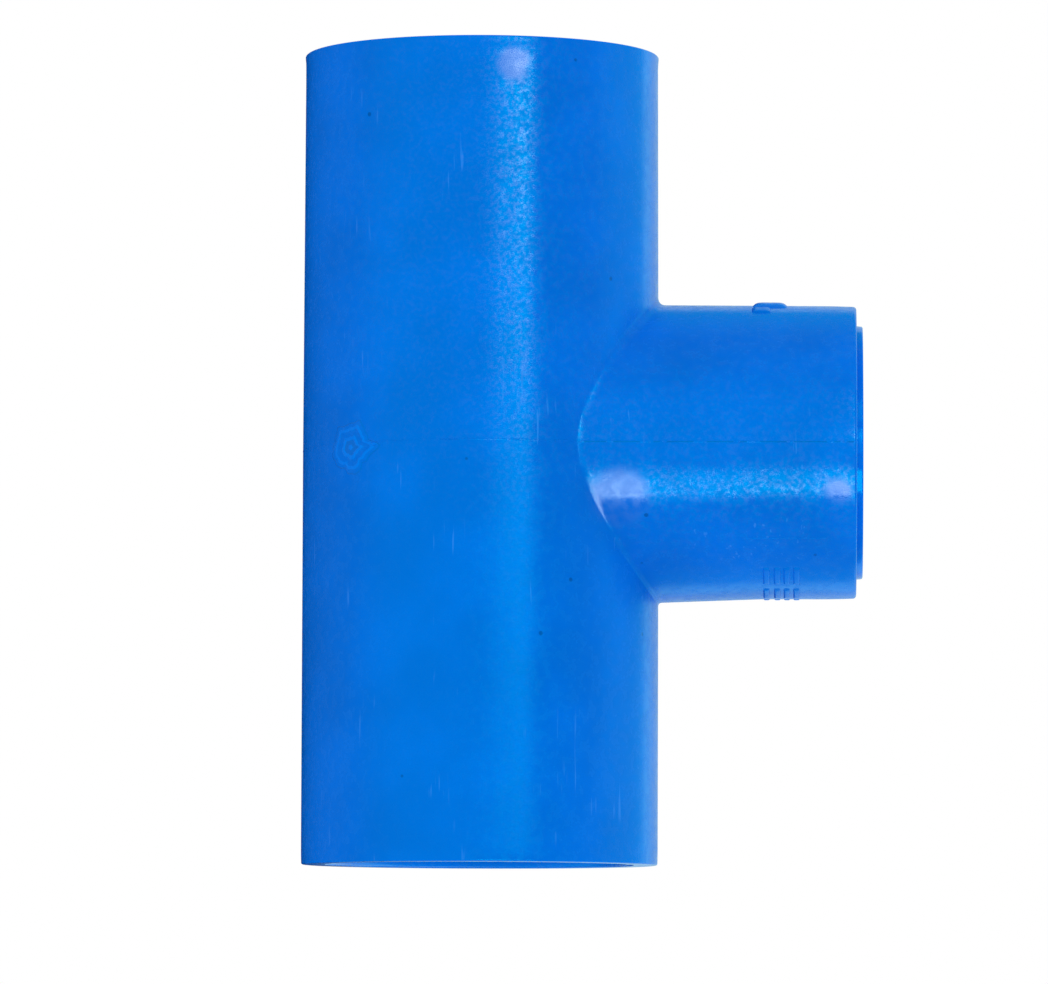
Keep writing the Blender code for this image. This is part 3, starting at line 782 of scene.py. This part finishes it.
class TEE_OT_seams(bpy.types.Operator):
    """The flash line where the mould halves part, and the witness line of the marking insert"""

    bl_idname = "tee.seams"
    bl_label = "Seams"

    def ridge(self, path, normal, across, width, height):
        """A low ridge carried along a path: at each point six corners, foot, shoulder, crest, crest, shoulder
        and foot, set out along the surface normal and across it."""
        section = np.array([(-0.5, -1), (-0.5, 0.0), (-0.18, 1.0), (0.18, 1.0), (0.5, 0.0), (0.5, -1)])
        side = section[:, 0][None, :, None] * width * across[:, None]
        root = np.where(section[:, 1] < 0, -RIDGE_ROOT, 0.0)[None]
        depth = root + np.clip(section[:, 1], 0, 1)[None] * height[:, None]
        return path[:, None] + side + depth[..., None] * normal[:, None]

    def execute(self, context):
        height = context.scene.tee_sizes.seam_height / MM
        outside = outer_patches()
        half = AROUND_BRANCH // 2
        # From the branch's mouth back over the fillet and round the run, on the front and then on the back.
        front, back = (np.concatenate([outside["branch"][::-1, column], outside["fillet"][::-1, column][1:],
                                       outside["sheet"][1:, column]]) for column in (half, 0))
        path = np.concatenate([front, back[::-1][1:]])
        tangent = np.gradient(path, axis=0)
        tangent[:, 2] = 0
        tangent /= np.linalg.norm(tangent, axis=1, keepdims=True)
        normal = np.stack([-tangent[:, 1], tangent[:, 0], 0 * tangent[:, 0]], -1)
        outward = np.sign(np.sum(normal * (path - np.array([8.0, 0, 0])), axis=1))[:, None]
        normal = normal * outward
        across = np.broadcast_to(np.array([0.0, 0.0, 1.0]), path.shape)
        steps = np.arange(len(path))
        # Uneven flash: three sines of the step number, kept between 0.2 and 1.3 of the stated height.
        uneven = (0.55 + 0.25 * np.sin(steps * 1.9) + 0.2 * np.sin(steps * 0.73 + 1)
                  + 0.15 * np.sin(steps * 3.1))
        grid = self.ridge(path, normal, across, SEAM_WIDTH, height * np.clip(uneven, 0.2, 1.3))
        # On the branch the flash is torn and darker, with short clean stretches; round the run it is clean.
        over_branch = np.minimum(steps, steps[::-1]) <= BRANCH_ROWS
        torn = over_branch & (np.sin(steps * 2.3) + np.sin(steps * 0.9) < 0.7)
        grids = [(grid[i:i + 2], int(torn[i]), True) for i in range(len(path) - 1)]
        seam = mesh_object("parting_seam", grids, caps=[(grid[0], 0), (grid[-1], 0)], sharp_angle=60.0)
        settle(seam, [], [0, 6])
        parts, caps = [], []
        for theta in (math.radians(-180 + INSERT_ANGLE), math.radians(-INSERT_ANGLE)):
            x = np.linspace(INSERT_START, INSERT_END, 24)
            path = on_branch(theta + 0 * x, x, 0 * x)
            normal = np.broadcast_to(np.array([0, math.cos(theta), math.sin(theta)]), path.shape)
            across = np.broadcast_to(np.array([0, -math.sin(theta), math.cos(theta)]), path.shape)
            taper = smooth_step(0, INSERT_FADE, np.minimum(x - INSERT_START, INSERT_END - x))
            grid = self.ridge(path, normal, across, INSERT_WIDTH, height * 0.8 * (0.1 + taper))
            parts.append((grid, 0, True))
            caps += [(grid[0], 0), (grid[-1], 0)]
        insert = mesh_object("insert_witness_line", parts, caps=caps, sharp_angle=60.0)
        settle(insert, [], [3])
        return {"FINISHED"}


# ---------------------------------------------------------------- stage


def direction(azimuth, elevation):
    """Unit vector seen from the object: azimuth from the front (-Y) round to the right (+X), then up."""
    a, e = math.radians(azimuth), math.radians(elevation)
    return Vector((math.sin(a) * math.cos(e), -math.cos(a) * math.cos(e), math.sin(e)))


def soft_light(name, azimuth, elevation, width, height, radiance, tint, distance=0.9):
    """A rectangular soft light facing the middle of the object. Its power is pi times its radiance times its
    area, so that its brightness stays the same when its size changes."""
    data = bpy.data.lights.new(name, "AREA")
    data.shape = "RECTANGLE"
    data.size = 2 * distance * math.tan(math.radians(width / 2))
    data.size_y = 2 * distance * math.tan(math.radians(height / 2))
    data.energy = math.pi * radiance * data.size * data.size_y
    data.color = linear(tint)
    light = bpy.data.objects.new(name, data)
    away = direction(azimuth, elevation)
    turn = away.to_track_quat("Z", "Y").to_matrix().to_4x4()
    light.matrix_world = Matrix.Translation(away * distance) @ turn
    light.visible_diffuse = False  # it draws the shine only; the even light comes from the surroundings
    bpy.context.scene.collection.objects.link(light)


class TEE_OT_stage(bpy.types.Operator):
    """Pale floor, white surroundings, soft lights and the camera"""

    bl_idname = "tee.stage"
    bl_label = "Stage"

    def execute(self, context):
        scene = context.scene
        settings = scene.tee_stage
        self.floor()
        self.surroundings(scene)
        key = settings.key_level
        for tier, (elevation, height, level, tint) in enumerate(KEY_TIERS):
            for strip, (azimuth, width, share) in enumerate(KEY_STRIPS):
                name = f"key_{tier}_{strip}"
                soft_light(name, azimuth, elevation, width, height, key * level * share, tint)
        for name, azimuth, elevation, width, height, level, tint in LOW_LIGHTS:
            soft_light(name, azimuth, elevation, width, height, key * level, tint)
        data = bpy.data.cameras.new("camera")
        data.lens = settings.lens
        data.sensor_width = 36.0
        data.clip_start, data.clip_end = 0.05, 20.0
        camera = bpy.data.objects.new("camera", data)
        place, aim = Vector(CAMERA_PLACE), Vector(CAMERA_AIM)
        turn = (aim - place).to_track_quat("-Z", "Y").to_matrix().to_4x4()
        roll = Matrix.Rotation(math.radians(CAMERA_ROLL), 4, "Z")
        camera.matrix_world = Matrix.Translation(place) @ turn @ roll
        scene.collection.objects.link(camera)
        scene.camera = camera
        scene.view_settings.view_transform = "Standard"
        return {"FINISHED"}

    def floor(self):
        """A pale sheet just under the lower mouth, solid from above and clear from below."""
        size, level = FLOOR_HALF, RUN_BOTTOM - FLOOR_GAP
        mesh = bpy.data.meshes.new("floor")
        corners = [(-size, -size, level), (size, -size, level), (size, size, level), (-size, size, level)]
        mesh.from_pydata(corners, [], [(0, 1, 2, 3)])
        floor = bpy.data.objects.new("floor", mesh)
        material = bpy.data.materials.new("pale_studio_sheet")
        material.use_nodes = True
        tree = material.node_tree
        tree.nodes.clear()
        matt = add(tree, "ShaderNodeBsdfDiffuse", inputs={"Color": (*linear("#F2F3F5"), 1)})
        clear = add(tree, "ShaderNodeBsdfTransparent")
        side = add(tree, "ShaderNodeNewGeometry").outputs["Backfacing"]
        both = add(tree, "ShaderNodeMixShader", inputs={0: side, 1: matt.outputs[0], 2: clear.outputs[0]})
        add(tree, "ShaderNodeOutputMaterial", inputs={"Surface": both.outputs[0]})
        mesh.materials.append(material)
        floor.visible_glossy = False
        floor.visible_shadow = False
        floor.visible_diffuse = False
        bpy.context.scene.collection.objects.link(floor)

    def surroundings(self, scene):
        """White room: the eye sees plain white; gloss sees a pale card behind and to the right, and weak cool
        glows front left, far right and over and under the back; matt surfaces get an even light, a little
        stronger from the front, the right, above and below."""
        world = bpy.data.worlds.new("white_room")
        world.use_nodes = True
        tree = world.node_tree
        tree.nodes.clear()
        scene.world = world
        way = add(tree, "ShaderNodeTexCoord").outputs["Generated"]
        height = add(tree, "ShaderNodeSeparateXYZ", inputs={0: way}).outputs["Z"]
        lift = add(tree, "ShaderNodeMath", {"operation": "ABSOLUTE"}, {0: height}).outputs[0]
        facing = {"height": height, "lift": lift}
        for key, azimuth, elevation in (
                ("past_right", 222, 0), ("before_back", 93.5, 0), ("front_left", -27, 5), ("front", -13, 0),
                ("right", 105, 0), ("back", 180, 0), ("far_right", 115, 0)):
            facing[key] = add(tree, "ShaderNodeVectorMath", {"operation": "DOT_PRODUCT"},
                              {0: way, 1: direction(azimuth, elevation)}).outputs["Value"]
        share = {}
        for key, source, low, high, to_low, to_high in (
                ("card_left", "past_right", 0.0, 0.06, 0, 1),
                ("card_right", "before_back", -0.01, 0.02, 0, 1),
                ("card_top", "height", 0.60, 0.64, 1, 0), ("card_foot", "height", -0.83, -0.79, 0, 1),
                ("behind", "back", -0.05, 0.5, 0, 0.6), ("not_level", "lift", 0.50, 0.70, 0, 1),
                ("glow", "front_left", 0.45, 1.0, 0, 0.85), ("even", "front", 0.0, 1.0, 0.66, 0.88),
                ("caps", "lift", 0.60, 0.85, 0, 0.40), ("side", "right", 0.60, 0.90, 0, 0.45),
                ("beside", "far_right", 0.78, 0.97, 0, 0.85)):
            share[key] = add(tree, "ShaderNodeMapRange", SMOOTH,
                             limits(facing[source], low, high, to_low, to_high)).outputs["Result"]
        for key, operation, first, second in (
                ("card_wide", "MULTIPLY", "card_left", "card_right"),
                ("card_high", "MULTIPLY", "card_top", "card_foot"),
                ("card", "MULTIPLY", "card_wide", "card_high"), ("rear", "MULTIPLY", "behind", "not_level"),
                ("cooler", "ADD", "glow", "rear"), ("cool", "ADD", "cooler", "beside"),
                ("sides", "ADD", "caps", "side"), ("matt", "ADD", "even", "sides")):
            share[key] = add(tree, "ShaderNodeMath", {"operation": operation},
                             {0: share[first], 1: share[second]}).outputs[0]
        card = add(tree, "ShaderNodeBackground", inputs={"Strength": share["card"], "Color": CARD_LIGHT})
        cool = add(tree, "ShaderNodeBackground", inputs={"Strength": share["cool"], "Color": COOL_LIGHT})
        gloss = add(tree, "ShaderNodeAddShader", inputs={0: card.outputs[0], 1: cool.outputs[0]})
        matt = add(tree, "ShaderNodeBackground", inputs={"Strength": share["matt"], "Color": WHITE})
        white = add(tree, "ShaderNodeBackground", inputs={"Strength": 1.0, "Color": WHITE})
        path = add(tree, "ShaderNodeLightPath")
        first = add(tree, "ShaderNodeMixShader",
                    inputs={0: path.outputs["Is Glossy Ray"], 1: matt.outputs[0], 2: gloss.outputs[0]})
        last = add(tree, "ShaderNodeMixShader",
                   inputs={0: path.outputs["Is Camera Ray"], 1: first.outputs[0], 2: white.outputs[0]})
        add(tree, "ShaderNodeOutputWorld", inputs={"Surface": last.outputs[0]})
        world.cycles.sampling_method = "NONE"


class TEE_PT_panel(bpy.types.Panel):
    """Lists the tee's pieces and settings"""

    bl_idname = "TEE_PT_panel"
    bl_label = "Moulded tee"
    bl_space_type = "VIEW_3D"
    bl_region_type = "UI"
    bl_category = "Tee"

    def draw(self, context):
        for group in ("tee_finish", "tee_sizes", "tee_stage"):
            settings = getattr(context.scene, group)
            for name in type(settings).__annotations__:
                self.layout.prop(settings, name)
        for step in STEPS:
            self.layout.operator(step.bl_idname)


STEPS = (TEE_OT_moulding, TEE_OT_lip, TEE_OT_gate, TEE_OT_marks, TEE_OT_seams, TEE_OT_stage)
CLASSES = (TeeFinish, TeeSizes, TeeStage, *STEPS, TEE_PT_panel)


def register():
    """Registers the classes and hangs the settings on the scene."""
    for entry in CLASSES:
        bpy.utils.register_class(entry)
    bpy.types.Scene.tee_finish = PointerProperty(type=TeeFinish)
    bpy.types.Scene.tee_sizes = PointerProperty(type=TeeSizes)
    bpy.types.Scene.tee_stage = PointerProperty(type=TeeStage)


def unregister():
    """Takes the settings and the classes away again."""
    for name in ("tee_finish", "tee_sizes", "tee_stage"):
        delattr(bpy.types.Scene, name)
    for entry in reversed(CLASSES):
        bpy.utils.unregister_class(entry)


def main():
    """Builds every piece and the stage."""
    register()
    for step in STEPS:
        group, name = step.bl_idname.split(".")
        result = getattr(getattr(bpy.ops, group), name)()
        if result != {"FINISHED"}:
            raise RuntimeError(f"{step.bl_label} wasn't made")


if __name__ == "__main__":
    main()
